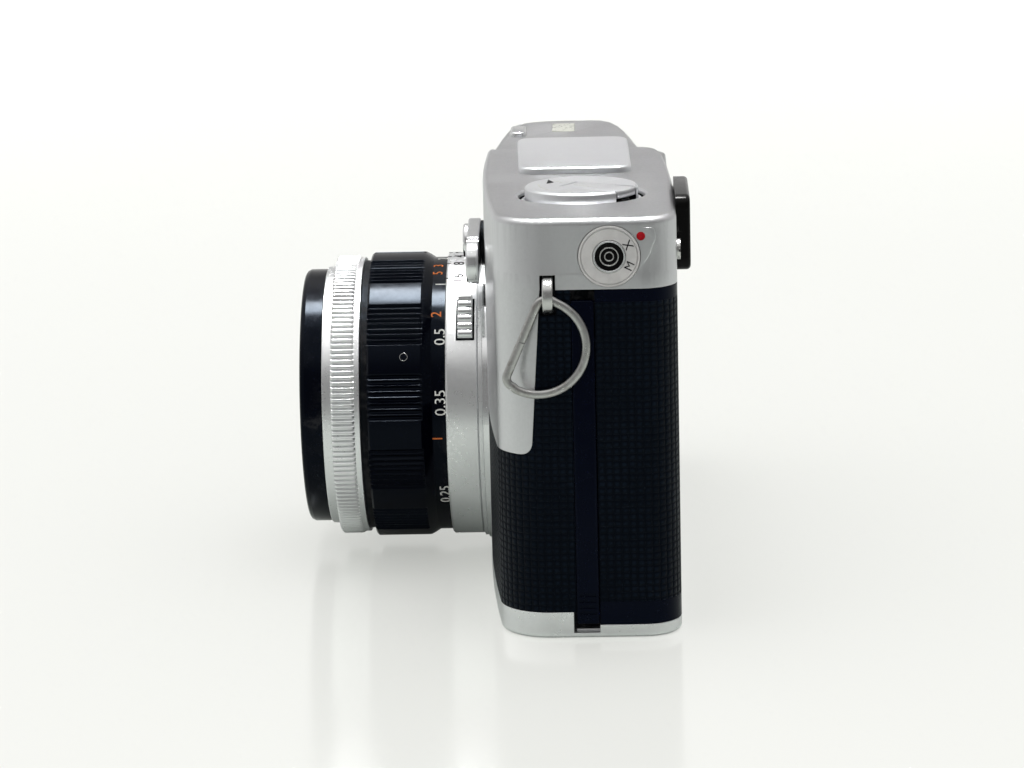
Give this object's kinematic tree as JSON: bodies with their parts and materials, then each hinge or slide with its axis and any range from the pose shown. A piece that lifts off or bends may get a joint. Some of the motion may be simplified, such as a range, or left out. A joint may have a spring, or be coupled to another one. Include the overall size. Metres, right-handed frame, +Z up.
{
  "type": "half frame camera",
  "caption": "Compact single-lens reflex camera for half frames, with a bayonet lens, hinged back, rewind crank, advance lever and strap rings.",
  "frame": {"origin": "centre of the tripod socket's mouth, in the plane of the base that the camera rests on", "axes": "+Z up, -Y the way the lens looks, +X towards the end with the rewind crank"},
  "size_m": [0.1352, 0.0676, 0.071],
  "materials": {
    "satin_aluminium": "satin, brushed lightly",
    "chrome": "polished",
    "steel": "brushed, slightly tarnished",
    "black_lacquer": "gloss black lacquer on aluminium",
    "matt_black": "matt black on aluminium",
    "leatherette": "fine embossed grain",
    "black_plastic": "gloss black moulding",
    "light_plastic": "translucent cream",
    "red_paint": "red enamel",
    "foam": "soft foam",
    "glass": "coated optical glass",
    "mirror_glass": "front-silvered"
  },
  "bodies": {
    "body": {"chassis": "matt_black", "mirror_box": "matt_black", "top_cover": "satin_aluminium", "top_pad": "satin_aluminium", "base_plate": "satin_aluminium", "base_screws": "steel", "cover_screws": "steel", "front_leather": "leatherette", "grip_leather": "leatherette", "hinge_pin": "steel", "tripod_socket": "steel", "film_rails": "chrome", "counter_window": "light_plastic", "focusing_screen": "light_plastic", "finder_prism": "glass", "eyepiece_lens": "glass", "eyepiece_frame": "black_plastic", "sync_core": "black_plastic", "index_dot": "red_paint", "strap_lugs": "chrome", "mount_ring": "chrome", "mount_screws": "steel"},
    "door": {"back_door": "black_lacquer", "door_leather": "leatherette", "door_seal": "foam", "plate_springs": "steel", "pressure_plate": "matt_black"},
    "latch": {"door_latch": "black_lacquer"},
    "spool": {"take_up_spool": "black_plastic"},
    "sprocket_shaft": {"sprocket": "steel"},
    "rewind": {"rewind_shaft": "steel", "rewind_knob": "satin_aluminium"},
    "crank": {"crank_arm": "satin_aluminium"},
    "crank_handle": {"crank_button": "chrome"},
    "advance": {"advance_lever": "chrome", "lever_tip": "black_plastic"},
    "counter": {"counter_disc": "light_plastic"},
    "release": {"shutter_button": "chrome"},
    "shutter": {"rotary_shutter": "steel", "shutter_shaft": "steel"},
    "mirror": {"reflex_mirror": "mirror_glass", "mirror_hinge": "matt_black"},
    "dial": {"speed_dial": "satin_aluminium"},
    "sync": {"sync_socket": "satin_aluminium"},
    "left_ring": {"left_strap_ring": "steel"},
    "right_ring": {"right_strap_ring": "steel"},
    "timer": {"self_timer_lever": "chrome", "timer_cap": "chrome"},
    "catch": {"lens_catch": "chrome"},
    "rewind_button": {"rewind_release": "steel"},
    "lens": {"lens_barrel": "satin_aluminium", "rear_glass": "glass", "iris": "matt_black"},
    "aperture": {"aperture_ring": "satin_aluminium", "aperture_tab": "satin_aluminium"},
    "focus": {"focus_ring": "black_lacquer"},
    "front_group": {"front_barrel": "matt_black", "grip_ring": "satin_aluminium", "front_ring": "black_lacquer", "front_glass": "glass"}
  },
  "joints": [
    {"name": "door_hinge", "type": "hinge", "parent": "body", "child": "door", "pos_m": [-0.0633, -0.0011, 0.03], "axis": [0, 0, 1], "range_deg": [0, 80]},
    {"name": "latch_slide", "type": "slide", "parent": "body", "child": "latch", "axis": [0, 0, -1], "range_m": [0, 0.0014]},
    {"name": "advance_turn", "type": "hinge", "parent": "body", "child": "advance", "pos_m": [-0.0515, -0.001, 0.062], "axis": [0, 0, 1], "range_deg": [0, 120]},
    {"name": "spool_turn", "type": "hinge", "parent": "body", "child": "spool", "pos_m": [-0.0515, -0.001, 0.03], "axis": [0, 0, 1], "range_deg": [0, 216]},
    {"name": "sprocket_turn", "type": "hinge", "parent": "body", "child": "sprocket_shaft", "pos_m": [-0.0405, 0.0064, 0.03], "axis": [0, 0, 1], "range_deg": [0, 240]},
    {"name": "counter_turn", "type": "hinge", "parent": "body", "child": "counter", "pos_m": [-0.0515, -0.001, 0.0653], "axis": [0, 0, 1], "range_deg": [0, 5]},
    {"name": "rewind_turn", "type": "hinge", "parent": "body", "child": "rewind", "pos_m": [0.0392, -0.0003, 0.06], "axis": [0, 0, 1], "continuous": true},
    {"name": "crank_fold", "type": "hinge", "parent": "rewind", "child": "crank", "pos_m": [0.03799, -0.00214, 0.0703], "axis": [0.8358, -0.549, 0], "range_deg": [0, 90]},
    {"name": "crank_handle_spin", "type": "hinge", "parent": "crank", "child": "crank_handle", "pos_m": [0.04315, 0.00572, 0.0669], "axis": [0, 0, 1], "continuous": true},
    {"name": "release_press", "type": "slide", "parent": "body", "child": "release", "axis": [0, 0, -1], "range_m": [0, 0.001]},
    {"name": "shutter_turn", "type": "hinge", "parent": "body", "child": "shutter", "pos_m": [-0.0115, 0.006, 0.0273], "axis": [0, 1, 0], "continuous": true},
    {"name": "mirror_swing", "type": "hinge", "parent": "body", "child": "mirror", "pos_m": [0.012, 0.004, 0.0273], "axis": [0, 0, 1], "range_deg": [0, 44]},
    {"name": "speed_dial_turn", "type": "hinge", "parent": "body", "child": "dial", "pos_m": [-0.041, -0.017, 0.0375], "axis": [0, -1, 0], "range_deg": [-150, 150]},
    {"name": "sync_select", "type": "hinge", "parent": "body", "child": "sync", "pos_m": [0.063, 0.0042, 0.06335], "axis": [1, 0, 0], "range_deg": [0, 60]},
    {"name": "left_ring_swing", "type": "hinge", "parent": "body", "child": "left_ring", "pos_m": [0.06425, -0.00575, 0.0565], "axis": [0, -1, 0], "range_deg": [0, 80]},
    {"name": "right_ring_swing", "type": "hinge", "parent": "body", "child": "right_ring", "pos_m": [-0.06425, -0.00575, 0.0565], "axis": [0, 1, 0], "range_deg": [0, 45]},
    {"name": "timer_wind", "type": "hinge", "parent": "body", "child": "timer", "pos_m": [0.015, -0.018, 0.0572], "axis": [0, -1, 0], "range_deg": [0, 160]},
    {"name": "catch_press", "type": "slide", "parent": "body", "child": "catch", "axis": [0, 1, 0], "range_m": [0, 0.0014]},
    {"name": "rewind_release_press", "type": "slide", "parent": "body", "child": "rewind_button", "axis": [0, 0, 1], "range_m": [0, 0.0016]},
    {"name": "lens_twist", "type": "hinge", "parent": "body", "child": "lens", "pos_m": [0, -0.018, 0.0273], "axis": [0, -1, 0], "range_deg": [0, 60]},
    {"name": "aperture_turn", "type": "hinge", "parent": "lens", "child": "aperture", "pos_m": [0, -0.021, 0.0273], "axis": [0, -1, 0], "range_deg": [-60, 10]},
    {"name": "focus_turn", "type": "hinge", "parent": "lens", "child": "focus", "pos_m": [0, -0.03, 0.0273], "axis": [0, -1, 0], "range_deg": [-33, 104]},
    {"name": "focus_travel", "type": "slide", "parent": "lens", "child": "front_group", "axis": [0, -1, 0], "range_m": [-0.00071, 0.00225]}
  ],
  "couplings": [
    {"joint": "spool_turn", "follows": "advance_turn", "ratio": 1.8},
    {"joint": "sprocket_turn", "follows": "advance_turn", "ratio": 2},
    {"joint": "counter_turn", "follows": "advance_turn", "ratio": 0.041667},
    {"joint": "focus_travel", "follows": "focus_turn", "m_per_rad": 0.0012128}
  ]
}
